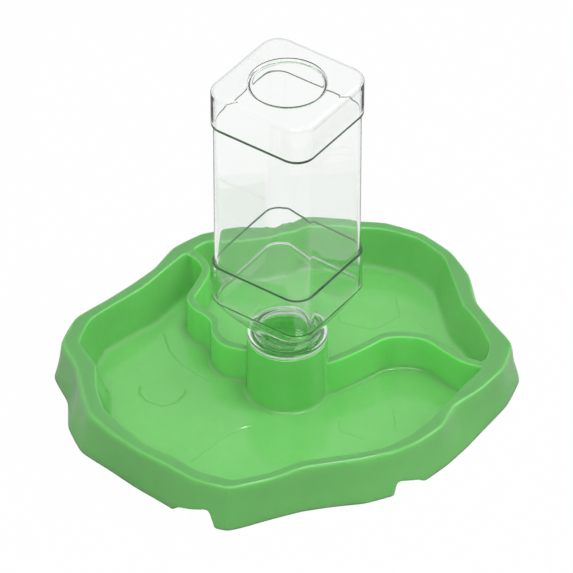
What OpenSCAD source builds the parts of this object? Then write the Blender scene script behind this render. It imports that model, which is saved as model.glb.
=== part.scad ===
// Two-basin gravity feeder: a moulded rock-outline tray with a central
// socket, and a clear square bottle that stands neck-down in the socket.
// Units are millimetres, +Z up. The origin is on the socket's axis, on the
// ground plane under the tray. The bottle's flat sides face X and Y.
// Headings are degrees from +X, turning towards +Y, the rear.

/* [Tray] */
// Height of the brim above the ground
brim_h = 26; // [24:0.5:30]
// Height of the basin floor's upper face above the ground
floor_z = 4; // [3.5:0.5:6]
// Wall thickness of the moulding
wall = 2.2; // [2:0.1:2.4]
// Horizontal run of the sloping basin wall, from brim to flat floor
wall_run = 11; // [9:1:18]
// Number of facets round the outline
outline_steps = 96; // [72:12:120]

/* [Divider] */
// Thickness of the wavy wall between the two basins
divider_t = 4.6; // [4:0.2:6]
// Height of the divider below the brim
divider_drop = 0.8; // [0.8:0.2:4]

/* [Socket] */
// Outer radius of the socket column
socket_r = 21.2; // [21:0.1:23]
// Height of the socket column's top above the ground
socket_top = 39; // [36:0.5:42]
// Radial clearance between the socket bore and the bottle's neck
socket_gap = 0.05; // [0.02:0.01:0.1]
// Width of the water outlet slot at the socket's foot
outlet_w = 9; // [6:0.5:12]
// Height of the top of the outlet slot above the ground
outlet_top = 30; // [24:1:34]
// Heading of the outlet slot, into the rear basin
outlet_dir = 100; // [80:5:120]

/* [Foot notches] */
// Width of the larger finger notch in the foot of the skirt
notch_w = 24.5; // [16:0.5:28]
// Middle height of the larger finger notch
notch_h = 6; // [4:0.5:9]

/* [Bottle] */
// Width of the bottle across the flats of its two thick bands
bottle_w = 62; // [58:1:66]
// Corner radius of the bottle's square section
corner_r = 10.5; // [8:0.5:12]
// How far the straight middle panel is recessed on each side
panel_in = 1.2; // [0.6:0.1:1.6]
// Wall thickness of the blown bottle
bottle_wall = 1.3; // [1:0.1:2]
// Height of the upturned bottle's end above the ground
bottle_top = 206; // [200:0.5:210]
// Height where the shoulder meets the lower band
shoulder_z = 70; // [64:1:72]
// Height where the middle panel starts
panel_z0 = 93.5; // [86:0.5:96]
// Height where the middle panel ends
panel_z1 = 183.5; // [176:0.5:186]
// Radius of the round recess in the upturned end
punt_r = 20.3; // [16:0.5:22]
// Depth of the round recess in the upturned end
punt_d = 2; // [1:0.2:3]

/* [Neck] */
// Outer radius of the thread crests, which guide the neck in the socket
neck_r = 18.95; // [18:0.05:19]
// Radius of the bore through the neck
mouth_r = 15; // [13:0.5:15.5]
// Outer radius of the support ring
ring_r = 21; // [20.5:0.1:22]
// Thickness of the support ring
ring_t = 2.2; // [1.6:0.2:3]
// Height of the open mouth above the ground, which sets the water level
mouth_z = 19; // [14:1:22]
// Number of thread crests on the neck
thread_count = 3; // [2:1:4]

/* [Seal] */
// Thickness of the soft washer between the support ring and the socket
seal_t = 1.5; // [1:0.1:2]

/* [Hidden] */
$fn = 96;
film = 0.01;    // thickness of the thin slices that a hull joins
cut = 1;        // how far a cutter runs past the face it opens
overlap = 0.5;  // how far stacked neck parts run into each other

// Basin wall: lip under the brim, knee on the slope, toe near the floor.
underside = floor_z - wall;
lip_in = 0.8;
lip_z = brim_h - 3.8;
knee_run = 0.3 * wall_run;
knee_z = 0.45 * brim_h + 0.55 * floor_z;
toe_run = 0.58 * wall_run;
toe_z = floor_z + 3;
skirt_mid_z = 0.45 * brim_h;

// Divider and socket start inside the floor's thickness.
divider_foot_z = underside + 0.9;
socket_foot_z = underside + 0.6;
bore_r = neck_r + socket_gap;
outlet_reach = socket_r + 4;

notch_corner_r = 3;
notch_reach = 40;  // radial length of the cutter
notch_start = 2;   // start of the cutter inside the brim's inner edge

washer_inset = 0.4;
ring_z = socket_top + seal_t;
neck_top = ring_z + 6;
mouth_bore_top = neck_top + 2;
neck_base_r = 18.2;       // neck between the support ring and the body
thread_depth = 1.3;
thread_pitch = 4.2;
thread_h = 1.8;
thread_start = 2.5;       // first crest above the mouth
collar_drop = 3;          // plain collar below the socket's top
collar_overlap = 0.2;     // collar into the support ring
shoulder_rise = 4;        // rounding from the shoulder to full width
shoulder_loss = 2.4;      // width lost at the foot of that rounding

// Rounded edge of the upturned end: depth below the end, width lost,
// corner radius lost.
end_edge = [[3, 0, 0], [1.1, 1.4, 0], [0.3, 3.4, 0], [film, 6, 1]];
end_edge_h = end_edge[0][0];

// Rock outline, one control radius every 10 degrees of heading: the foot of
// the skirt, the outer edge of the brim and the inner edge of the brim.
foot_line = [102, 104, 108, 116, 123, 123, 119, 123, 127, 128, 126, 122,
             119, 113, 114, 117, 114, 107, 106, 112, 122, 124, 116, 118.5,
             118, 112, 110, 110, 114, 115, 103, 96, 95, 98, 100, 101];
brim_line = [99, 97, 105, 114, 119, 113, 110.5, 118, 123, 125, 123, 117.5,
             115, 107, 110, 112, 109, 102, 102, 107, 117, 120, 112, 112,
             114, 111, 109, 108, 111, 111, 101, 92, 91, 93, 96, 98];
basin_line = [91, 92, 95, 103, 107, 104.5, 102, 107.5, 117, 120, 117, 110.5,
              105, 98, 98, 104, 100, 96, 95, 100, 108, 110, 101, 103,
              105, 103, 103, 101, 104, 104, 95, 86, 85, 87, 90, 91];

// Centre line [x, y] of the divider: on the -X side from the brim to the
// socket, and on the +X side from the socket to the brim.
divider_west = [[-99, 40], [-86, 39], [-77, 33], [-73, 21], [-70, 10],
                [-63, 5], [-55, 4], [-48, 1], [-42, -6], [-33, -10],
                [-24, -8], [-14, -4]];
divider_east = [[14, 2], [20, 10], [24, 19], [28, 31], [32, 43], [41, 51],
                [52, 55], [66, 53], [79, 52], [99, 57]];

// Catmull-Rom interpolation from start to end, for numbers or points.
function spline(before, start, end, after, t) =
    0.5 * (2 * start + (end - before) * t
           + (2 * before - 5 * start + 4 * end - after) * t * t
           + (3 * start - before - 3 * end + after) * t * t * t);

// Radius of a closed outline at a heading.
function outline(line, heading) =
    let (n = len(line), s = heading * n / 360, i = floor(s))
    spline(line[(i + n - 1) % n], line[i % n], line[(i + 1) % n],
           line[(i + 2) % n], s - i);

// Point of an open path at parameter s, counted in control points.
function along(path, s) =
    let (last = len(path) - 1, i = min(floor(s), last - 1))
    spline(path[max(i - 1, 0)], path[i], path[i + 1],
           path[min(i + 2, last)], s - i);

// Section of the moulding at one heading, as [radius, height] of each ring:
// from the foot up the outside, over the brim, down the basin wall.
function skin(heading) =
    let (foot = outline(foot_line, heading),
         brim = outline(brim_line, heading),
         basin = outline(basin_line, heading))
    [[foot, 0],
     [0.55 * foot + 0.45 * brim, skirt_mid_z],
     [brim, brim_h - 4],
     [brim - 1.6, brim_h - 0.9],
     [(brim + basin) / 2 + 0.2, brim_h],
     [basin + 0.6, brim_h - 1],
     [basin - lip_in, lip_z],
     [basin - knee_run, knee_z],
     [basin - toe_run, toe_z],
     [basin - wall_run, floor_z]];

// The hollow underside, from the floor's lower face back to the foot.
function lining(heading) =
    let (foot = outline(foot_line, heading),
         brim = outline(brim_line, heading),
         basin = outline(basin_line, heading),
         crest = (brim + basin) / 2)
    [[basin - wall_run + 0.3, underside],
     [basin - toe_run + 0.75 * wall, underside + 2.6],
     [basin - knee_run + wall, knee_z - 0.8],
     [min(basin - lip_in + wall, crest - 0.3), brim_h - 6],
     [crest, brim_h - 3],
     [max(brim - wall, crest + 0.3), brim_h - 6],
     [0.55 * foot + 0.45 * brim - wall, skirt_mid_z],
     [foot - wall, 0]];

// Evenly spaced headings round the full turn.
function headings(steps) = [for (j = [0 : steps - 1]) 360 * j / steps];

// Points of a list of sections, one per heading, ring after ring.
function ring_points(sections) =
    let (turn = headings(len(sections)))
    [for (k = [0 : len(sections[0]) - 1]) for (j = [0 : len(sections) - 1])
        let (ring = sections[j][k])
        [ring[0] * cos(turn[j]), ring[0] * sin(turn[j]), ring[1]]];

// Quads between ring k0 and ring k1, split into triangles.
function band(k0, k1, steps) = [
    for (j = [0 : steps - 1])
        let (next = (j + 1) % steps,
             from = k0 * steps + j, from_next = k0 * steps + next,
             to = k1 * steps + j, to_next = k1 * steps + next)
        each [[from, to, to_next], [from, to_next, from_next]]];

// Bands joining each ring to the next, from ring k0 to ring k1.
function bands(k0, k1, steps) = [for (k = [k0 : k1 - 1]) each band(k, k + 1, steps)];

// Flat face across ring k, facing up or down.
function cap_up(k, steps) = [[for (j = [steps - 1 : -1 : 0]) k * steps + j]];
function cap_down(k, steps) = [[for (j = [0 : steps - 1]) k * steps + j]];

module tray_shell() {
    steps = outline_steps;
    sections = [for (a = headings(steps)) concat(skin(a), lining(a))];
    last_ring = len(sections[0]) - 1;
    floor_ring = len(skin(0)) - 1;
    polyhedron(
        points = ring_points(sections),
        faces = concat(
            bands(0, floor_ring, steps),
            cap_up(floor_ring, steps),
            cap_down(floor_ring + 1, steps),
            bands(floor_ring + 1, last_ring, steps),
            band(last_ring, 0, steps)),
        convexity = 8);
}

// Space inside the basins, grown half a wall into the moulding, which
// trims the divider so that nothing pokes out through the skin.
module basin_space() {
    steps = 48;
    grow = 0.5 * wall;
    sections = [for (a = headings(steps))
        let (edge = outline(basin_line, a) + grow)
        [[edge - wall_run, floor_z - grow],
         [edge - toe_run, toe_z - grow],
         [edge - knee_run, knee_z],
         [edge - lip_in, lip_z],
         [edge, brim_h + 4]]];
    top_ring = len(sections[0]) - 1;
    polyhedron(
        points = ring_points(sections),
        faces = concat(
            cap_down(0, steps),
            bands(0, top_ring, steps),
            cap_up(top_ring, steps)),
        convexity = 6);
}

// Plan of a wall that follows a path, with its thickness set square to it.
module path_plan(path) {
    per_point = 3;
    last = per_point * (len(path) - 1);
    centre = [for (s = [0 : last]) along(path, s / per_point)];
    side = [for (s = [0 : last])
        let (run = centre[min(s + 1, last)] - centre[max(s - 1, 0)])
        [-run[1], run[0]] / norm(run)];
    polygon(concat(
        [for (s = [0 : last]) centre[s] + side[s] * divider_t / 2],
        [for (s = [last : -1 : 0]) centre[s] - side[s] * divider_t / 2]));
}

module divider() intersection() {
    translate([0, 0, divider_foot_z])
        linear_extrude(brim_h - divider_drop - divider_foot_z) {
            path_plan(divider_west);
            path_plan(divider_east);
        }
    basin_space();
}

// Cutter for an arched notch in the foot of the skirt. Its top is at
// height h in the middle, lower by tilt at one end and higher at the other.
module foot_notch(heading, w, h, tilt) {
    r = notch_corner_r;
    rotate([0, 0, heading])
        translate([outline(basin_line, heading) - notch_start, 0, 0])
            rotate([0, 90, 0])
                hull()
                    for (s = [-1, 1]) for (z = [h + s * tilt - r, -r])
                        translate([-z, s * (w / 2 - r), 0])
                            cylinder(r = r, h = notch_reach);
}

module tray() color([0.36, 0.72, 0.34]) difference() {
    union() {
        tray_shell();
        divider();
        translate([0, 0, socket_foot_z])
            cylinder(r = socket_r, h = socket_top - socket_foot_z);
    }
    // Socket bore and outlet slot
    translate([0, 0, floor_z])
        cylinder(r = bore_r, h = socket_top);
    rotate([0, 0, outlet_dir])
        translate([0, -outlet_w / 2, floor_z])
            cube([outlet_reach, outlet_w, outlet_top - floor_z]);
    foot_notch(heading = 280, w = notch_w, h = notch_h, tilt = 0.55 * notch_h);
    foot_notch(heading = 345, w = 0.76 * notch_w, h = 0.7 * notch_h,
               tilt = -0.38 * notch_h);
}

module seal_washer() color([0.9, 0.93, 0.9]) difference() {
    translate([0, 0, socket_top])
        cylinder(r = socket_r - washer_inset, h = seal_t);
    translate([0, 0, socket_top - cut])
        cylinder(r = bore_r, h = seal_t + 2 * cut);
}

// Square with round corners, w across the flats.
module soft_square(w, r) {
    square([w - 2 * r, w], center = true);
    square([w, w - 2 * r], center = true);
    for (x = [-1, 1]) for (y = [-1, 1])
        translate([x, y] * (w / 2 - r))
            circle(r = r);
}

// Soft square standing from height z0 to z1.
module block(z0, z1, w, r)
    translate([0, 0, z0])
        linear_extrude(z1 - z0)
            soft_square(w, r);

// Thin slice of the body at height z, for hulls.
module slab(z, w, r)
    translate([0, 0, z])
        linear_extrude(film)
            soft_square(w, r, $fn = 32);

// Solid form of the blown body up to top, drawn in by inset all round.
module blown_form(inset, top) {
    w = bottle_w - 2 * inset;
    r = corner_r - inset;
    band_z = shoulder_z + shoulder_rise;
    // Shoulder
    hull() {
        translate([0, 0, neck_top - film])
            cylinder(r = neck_base_r - inset, h = film, $fn = 48);
        slab(shoulder_z, w - shoulder_loss, r);
        slab(band_z, w, r);
    }
    // Lower band, recessed panel, upper band
    block(band_z, panel_z0 - inset, w, r);
    block(panel_z0 - inset - film, panel_z1 + inset + film,
          w - 2 * panel_in, r - panel_in);
    block(panel_z1 + inset, top - end_edge_h, w, r);
    // Rounded end
    hull()
        for (edge = end_edge)
            slab(top - edge[0], w - edge[1], r - edge[2]);
}

// Neck, from the body down to the mouth.
module neck() {
    translate([0, 0, ring_z])
        cylinder(r = neck_base_r, h = neck_top - ring_z + overlap);
    translate([0, 0, ring_z])
        cylinder(r = ring_r, h = ring_t);
    translate([0, 0, socket_top - collar_drop])
        cylinder(r = neck_r, h = collar_drop + seal_t + collar_overlap);
    translate([0, 0, mouth_z])
        cylinder(r = neck_r - thread_depth, h = ring_z - mouth_z + overlap);
    for (k = [0 : thread_count - 1])
        translate([0, 0, mouth_z + thread_start + thread_pitch * k])
            cylinder(r = neck_r, h = thread_h);
}

module bottle() color([0.9, 0.95, 0.93, 0.35]) difference() {
    union() {
        blown_form(inset = 0, top = bottle_top);
        neck();
    }
    blown_form(inset = bottle_wall, top = bottle_top - punt_d - bottle_wall);
    translate([0, 0, mouth_z - cut])
        cylinder(r = mouth_r, h = mouth_bore_top - mouth_z + cut);
    translate([0, 0, bottle_top - punt_d])
        cylinder(r = punt_r, h = punt_d + cut);
}

tray();
seal_washer();
bottle();
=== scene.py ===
"""Two-basin gravity feeder: a moulded tray, a soft washer and an upturned clear bottle.

Modelling lengths are millimetres in the part's own frame: origin on the
socket's axis, on the ground, +Z up. Meshes are scaled to metres when made.
Headings are degrees anticlockwise from +X.
"""
import math

import bpy
import numpy as np
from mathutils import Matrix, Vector
from mathutils.geometry import delaunay_2d_cdt


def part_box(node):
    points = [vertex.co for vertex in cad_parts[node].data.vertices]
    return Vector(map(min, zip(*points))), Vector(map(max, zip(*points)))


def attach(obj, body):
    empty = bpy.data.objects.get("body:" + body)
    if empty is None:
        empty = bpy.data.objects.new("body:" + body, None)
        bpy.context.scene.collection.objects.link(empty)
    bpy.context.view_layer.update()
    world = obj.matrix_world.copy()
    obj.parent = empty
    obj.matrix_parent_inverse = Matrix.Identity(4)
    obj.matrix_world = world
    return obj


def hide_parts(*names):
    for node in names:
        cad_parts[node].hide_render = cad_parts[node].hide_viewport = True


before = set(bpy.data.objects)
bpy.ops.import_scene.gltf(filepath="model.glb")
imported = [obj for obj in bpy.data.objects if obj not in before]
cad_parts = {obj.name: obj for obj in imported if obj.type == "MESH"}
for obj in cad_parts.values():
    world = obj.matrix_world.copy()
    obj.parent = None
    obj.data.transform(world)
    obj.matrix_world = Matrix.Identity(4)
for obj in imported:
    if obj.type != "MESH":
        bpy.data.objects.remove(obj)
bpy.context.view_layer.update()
MM = 0.001


def node_box(name):
    low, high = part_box(name)
    return np.array(low) / MM, np.array(high) / MM


TRAY_LOW, TRAY_HIGH = node_box("tray")
SEAL_LOW, SEAL_HIGH = node_box("seal_washer")
BOTTLE_LOW, BOTTLE_HIGH = node_box("bottle")

# ------------------------------------------------------------- tray design
SOCKET_TOP = TRAY_HIGH[2]
BRIM_TOP = 26.0
SKIRT_HEIGHT = 22.0         # over which the foot outline turns into the brim outline
SKIRT_HOLLOW = 0.5
FLOOR_Z = 4.0
WALL = 2.2
BASIN_LEAN = 0.32           # inward run of the basin wall per unit of depth
BASIN_FILLET = 4.2
SOCKET_RADIUS = 21.2
BORE_RADIUS = 19.0
COLUMN_DRAFT = 0.018
DIVIDER_THICKNESS = 4.6
DIVIDER_TOP = BRIM_TOP - 0.8
DIVIDER_DRAFT = 0.02
FILLET_TOP = 15.0           # where the extra blend at the floor has died out
OUTLET_WIDTH, OUTLET_TOP, OUTLET_HEADING = 9.0, 30.0, 100.0
OUTLET_START, OUTLET_END = 8.0, 40.0
NOTCH_WIDTH, NOTCH_HEIGHT = 24.5, 6.0
# heading, width, height, climb across the notch
NOTCHES = (
    (280.0, NOTCH_WIDTH, NOTCH_HEIGHT, 3.3),
    (345.0, 0.76 * NOTCH_WIDTH, 0.7 * NOTCH_HEIGHT, -0.38 * NOTCH_HEIGHT),
)

# Outline radii, one every 10 degrees from +X.
FOOT_RADII = [
    102, 104, 108, 116, 123, 123, 119, 123, 127, 128, 126, 122,
    119, 113, 114, 117, 114, 107, 106, 112, 122, 124, 116, 118.5,
    118, 112, 110, 110, 114, 115, 103, 96, 95, 98, 100, 101]
BRIM_RADII = [
    99, 97, 105, 114, 119, 113, 110.5, 118, 123, 125, 123, 117.5,
    115, 107, 110, 112, 109, 102, 102, 107, 117, 120, 112, 112,
    114, 111, 109, 108, 111, 111, 101, 92, 91, 93, 96, 98]
BASIN_RADII = [
    91, 92, 95, 103, 107, 104.5, 102, 107.5, 117, 120, 117, 110.5,
    105, 98, 98, 104, 100, 96, 95, 100, 108, 110, 101, 103,
    105, 103, 103, 101, 104, 104, 95, 86, 85, 87, 90, 91]

# Centre lines (x, y) of the wavy divider, on the -X and +X sides of the socket.
DIVIDER_LINES = (
    [(-99, 40), (-86, 39), (-77, 33), (-73, 21), (-70, 10), (-63, 5),
     (-55, 4), (-48, 1), (-42, -6), (-33, -10), (-24, -8), (-14, -4)],
    [(14, 2), (20, 10), (24, 19), (28, 31), (32, 43), (41, 51),
     (52, 55), (66, 53), (79, 52), (99, 57)],
)

# Shallow lines moulded into the basin floors: (x, y) points, width, depth.
GROOVES = [
    ([(-63.8, -43.5), (-60.3, -50.0), (-53.8, -53.3), (-43.9, -51.7), (-39.6, -45.2),
      (-40.2, -35.6), (-43.6, -32.2)], 1.7, 0.50),
    ([(-92.8, -19.8), (-85.9, -4.0), (-82.8, -1.0), (-79.5, -2.2), (-76.4, -5.0),
      (-67.0, -13.2), (-57.9, -17.3), (-47.1, -19.4), (-32.5, -20.7)], 1.5, 0.42),
    ([(-5.8, -80.7), (-4.9, -71.5), (-4.2, -63.8), (-3.4, -56.5), (-2.5, -50.3),
      (0.0, -42.6), (4.5, -36.4)], 1.4, 0.20),
    ([(-14.9, 66.8), (-8.1, 59.4), (9.6, 63.9), (11.5, 68.3), (14.9, 82.0), (2.8, 95.1)],
     1.3, 0.20),
    ([(24.4, 83.7), (35.7, 80.5)], 1.1, 0.16),
    ([(37.5, -6.9), (43.4, -13.5), (59.9, -11.5)], 1.2, 0.20),
    ([(55.3, 17.9), (61.5, 10.2), (67.2, 3.6)], 1.1, 0.18),
]

# ------------------------------------------------------ outlines and paths
TABLE_SIZE = 1440           # outline table entries over a full turn
CORNER_EASE = 0.8           # degrees, width of the smoothing at outline corners


def spline(before, start, end, after, t):
    """Catmull-Rom interpolation from start to end."""
    return 0.5 * (2 * start + (end - before) * t
                  + (2 * before - 5 * start + 4 * end - after) * t * t
                  + (3 * start - before - 3 * end + after) * t ** 3)


def at(table, place):
    """Value of a closed table at a fractional index."""
    i = np.floor(place).astype(int)
    n = len(table)
    return spline(table[(i - 1) % n], table[i % n], table[(i + 1) % n], table[(i + 2) % n],
                  place - i)


def table_place(x, y):
    """Fractional table index of the heading of (x, y)."""
    return (np.degrees(np.arctan2(y, x)) % 360) * TABLE_SIZE / 360


def outline_table(radii):
    """Radius table with nearly straight runs between slightly eased corners."""
    radii = np.array(radii, float)
    n = len(radii)
    place = np.arange(TABLE_SIZE) * n / TABLE_SIZE
    i = np.floor(place).astype(int)
    start, end = radii[i % n], radii[(i + 1) % n]
    sector = 2 * math.pi / n
    turn = (place - i) * sector
    chord = start * end * math.sin(sector) / (
        start * np.sin(turn) + end * np.sin(sector - turn))
    outline = 0.35 * at(radii, place) + 0.65 * chord
    shifts = np.arange(-20, 21)
    weights = np.exp(-0.5 * (shifts * 360 / TABLE_SIZE / CORNER_EASE) ** 2)
    weights /= weights.sum()
    return sum(weight * np.roll(outline, shift) for weight, shift in zip(weights, shifts))


def softness_table():
    """Rounding of the brim's outer edge, softest round heading 240."""
    heading = np.arange(TABLE_SIZE) * 360 / TABLE_SIZE
    soft = np.full(TABLE_SIZE, 2.4)
    for centre, width, gain in ((240, 20, 4.2), (212, 16, 2.0), (10, 22, 0.8)):
        away = (heading - centre + 180) % 360 - 180
        soft += gain * np.exp(-0.5 * (away / width) ** 2)
    return soft


def path_points(line, spacing=0.35):
    line = np.array(line, float)
    last = len(line) - 1
    points = []
    for i in range(last):
        ends = line[max(i - 1, 0)], line[i], line[i + 1], line[min(i + 2, last)]
        steps = max(2, int(np.linalg.norm(ends[2] - ends[1]) / spacing))
        points += [spline(*ends, t) for t in np.arange(steps) / steps]
    points.append(line[-1])
    return np.array(points)


FOOT, BRIM, BASIN = (outline_table(radii) for radii in (FOOT_RADII, BRIM_RADII, BASIN_RADII))
SOFT = softness_table()
PATHS = [path_points(line) for line in DIVIDER_LINES]
PATH_REACH = 24             # distance within which the path distance is exact
PATH_STRIDE = 12            # path points skipped in the coarse search


def path_distance(x, y):
    """Distance to the nearer divider path, exact to its segments when close."""
    query = np.stack([x.ravel(), y.ravel()], 1)
    best = np.full(len(query), 1e9)
    for points in PATHS:
        low, high = points.min(0) - PATH_REACH, points.max(0) + PATH_REACH
        near = np.where(((query > low) & (query < high)).all(1))[0]
        coarse = points[::PATH_STRIDE]
        for chunk in np.array_split(near, max(1, len(near) // 20000)):
            if not len(chunk):
                continue
            place = query[chunk]
            squared = ((place[:, None] - coarse[None]) ** 2).sum(2)
            nearest = squared.argmin(1) * PATH_STRIDE
            distance = np.sqrt(squared.min(1))
            close = distance < PATH_REACH
            window = np.clip(nearest[close][:, None] + np.arange(-14, 14), 0, len(points) - 2)
            start = points[window]
            run = points[window + 1] - start
            offset = place[close][:, None] - start
            t = np.clip((offset * run).sum(2) / (run * run).sum(2), 0, 1)
            distance[close] = np.sqrt(((offset - run * t[..., None]) ** 2).sum(2)).min(1)
            best[chunk] = np.minimum(best[chunk], distance)
    return best.reshape(x.shape)


# -------------------------------------------------------------- tray field
def smin(first, second, blend):
    """Minimum of two fields with a rounded joint of size blend."""
    h = np.maximum(blend - np.abs(first - second), 0) / blend
    return np.minimum(first, second) - h * h * h * blend / 6


def smax(first, second, blend):
    return -smin(-first, -second, blend)


def outline_cosine(table, place, radius):
    """Turns a radial offset from an outline into a distance square to it."""
    rate = (at(table, place + 2) - at(table, place - 2)) / (4 * 2 * math.pi / TABLE_SIZE)
    return 1 / np.sqrt(1 + (rate / np.maximum(radius, 20)) ** 2)


def plan_fields(x, y):
    """What only depends on the place in plan."""
    radius = np.hypot(x, y)
    place = table_place(x, y)
    return dict(x=x, y=y, radius=radius, foot=at(FOOT, place), brim=at(BRIM, place),
                basin=at(BASIN, place), soft=at(SOFT, place),
                basin_cos=outline_cosine(BASIN, place, radius),
                brim_cos=outline_cosine(BRIM, place, radius), divider=path_distance(x, y))


def turned(plan, heading):
    """Plan coordinates along a heading and across it."""
    angle = math.radians(heading)
    along = plan["x"] * math.cos(angle) + plan["y"] * math.sin(angle)
    across = -plan["x"] * math.sin(angle) + plan["y"] * math.cos(angle)
    return along, across


def shell_field(plan, z, top):
    """Hollow shell with its basins. Returns it and the field of the basins' room."""
    radius = plan["radius"]
    rise = np.clip(z / SKIRT_HEIGHT, -0.2, 1.3)
    skirt = (plan["foot"] + (plan["brim"] - plan["foot"]) * rise
             - SKIRT_HOLLOW * np.sin(math.pi * np.clip(rise, 0, 1)))
    slope = (plan["brim"] - plan["foot"]) / SKIRT_HEIGHT
    outer = (radius - skirt) * plan["brim_cos"] / np.sqrt(1 + (slope * plan["brim_cos"]) ** 2)
    form = smax(outer, top, plan["soft"])
    # sloping wall, wide fillet, flat floor
    wall = ((radius - (plan["basin"] - (BRIM_TOP - z) * BASIN_LEAN)) * plan["basin_cos"]
            / math.sqrt(1 + BASIN_LEAN * BASIN_LEAN))
    room = smax(wall, FLOOR_Z - z, BASIN_FILLET)
    solid = smax(form, -room, 1.5)
    # the underside follows the form at a wall's thickness
    under = smax(form + WALL, WALL - room, 1.5)
    solid = smax(solid, -under, 1.0)
    return smax(solid, -z, 0.5), room


def divider_field(plan, z, room):
    half = DIVIDER_THICKNESS / 2 + DIVIDER_DRAFT * (DIVIDER_TOP - z)
    wave = smax(plan["divider"] - half, z - DIVIDER_TOP, 1.7)
    wave = smax(wave, room - 0.6 * WALL, 0.6)
    return smax(wave, -z + FLOOR_Z - 1.4, 0.4)


def column_field(plan, z):
    column_radius = SOCKET_RADIUS + COLUMN_DRAFT * (SOCKET_TOP - z)
    column = smax(plan["radius"] - column_radius, z - SOCKET_TOP, 1.0)
    return smax(column, -z + FLOOR_Z - 1.6, 0.4)


def outlet_field(plan, z):
    """Round-headed slot through the socket wall."""
    along, across = turned(plan, OUTLET_HEADING)
    half = OUTLET_WIDTH / 2
    arch_z = OUTLET_TOP - half
    arch = np.where(z > arch_z, np.hypot(across, z - arch_z), np.abs(across)) - half
    length = smax(OUTLET_START - along, along - OUTLET_END, 0.5)
    return smax(smax(arch, FLOOR_Z - z, 0.5), length, 0.5)


def notch_field(plan, z, heading, width, height, tilt):
    """Notch in the foot, with drafted sides and a tilted top."""
    along, across = turned(plan, heading)
    inner_end = at(BASIN, np.array([heading * TABLE_SIZE / 360]))[0] - 2
    climb = tilt / (width / 2 - 3)
    sides = (np.abs(across) - width / 2 + 0.45 * z) / 1.1
    roof = (z - height - climb * across) / math.hypot(1, climb)
    return smax(smax(sides, roof, 4.5), inner_end - along, 0.5)


def tray_field(plan, z):
    """Signed distance, nearly, to the tray's surface: below zero in the plastic."""
    radius = plan["radius"]
    top = z - (BRIM_TOP + 0.15)
    solid, room = shell_field(plan, z, top)
    # joints widen towards the floor, and where the divider meets the brim
    fillet = np.clip((FILLET_TOP - z) / (FILLET_TOP - FLOOR_Z), 0, 1)
    fillet = fillet * fillet * (3 - 2 * fillet)
    join = np.clip(1 - (plan["basin"] - radius) / 14.0, 0, 1) ** 2
    solid = smin(solid, divider_field(plan, z, room), 1.0 + 2.2 * fillet + 4.5 * join)
    solid = np.where(radius > 40, smax(solid, top, 0.6), solid)
    solid = smin(solid, column_field(plan, z), 0.8 + 2.6 * fillet)
    bore = smax(radius - BORE_RADIUS, FLOOR_Z - z, 0.5)
    solid = smax(solid, -bore, 0.6)
    solid = smax(solid, -outlet_field(plan, z), 1.4)
    for notch in NOTCHES:
        solid = smax(solid, -notch_field(plan, z, *notch), 2.6)
    return solid


def tray_at(points):
    return tray_field(plan_fields(points[:, 0], points[:, 1]), points[:, 2])


def gradient(points, step=0.02):
    slopes = np.empty_like(points)
    for k in range(3):
        shift = np.zeros(3)
        shift[k] = step
        slopes[:, k] = (tray_at(points + shift) - tray_at(points - shift)) / (2 * step)
    return slopes


def unit_gradient(points, step=0.02):
    slopes = gradient(points, step)
    return slopes / np.maximum(np.linalg.norm(slopes, axis=1, keepdims=True), 1e-9)


# ---------------------------------------------------------- dual contouring
def grid_field(xs, ys, zs):
    """Tray field on the grid, in slabs to spare memory."""
    plan = plan_fields(*np.meshgrid(xs, ys, indexing="ij"))
    field = np.empty((len(xs), len(ys), len(zs)), np.float32)
    for start in range(0, len(xs), 40):
        slab = slice(start, start + 40)
        part = {name: values[slab, :, None] for name, values in plan.items()}
        field[slab] = tray_field(part, zs[None, None, :])
    return field


def mixed_cells(inside):
    """Index of each cell with corners on both sides of the surface."""
    shape = inside.shape
    corners = [inside[dx:shape[0] - 1 + dx, dy:shape[1] - 1 + dy, dz:shape[2] - 1 + dz]
               for dx in (0, 1) for dy in (0, 1) for dz in (0, 1)]
    return np.argwhere(np.logical_or.reduce(corners) & ~np.logical_and.reduce(corners))


def crossings(base, step, near_value, far_value):
    """Points where the surface cuts grid edges, by false position."""
    near, far = np.zeros(len(base)), np.ones(len(base))
    t = near_value / (near_value - far_value)
    for _ in range(3):
        value = tray_at(base + t[:, None] * step)
        same = (value < 0) == (near_value < 0)
        near = np.where(same, t, near)
        near_value = np.where(same, value, near_value)
        far = np.where(same, far, t)
        far_value = np.where(same, far_value, value)
        drop = near_value - far_value
        drop = np.where(np.abs(drop) < 1e-12, 1, drop)
        t = np.clip(near + (far - near) * near_value / drop, near, far)
    return base + t[:, None] * step


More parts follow.
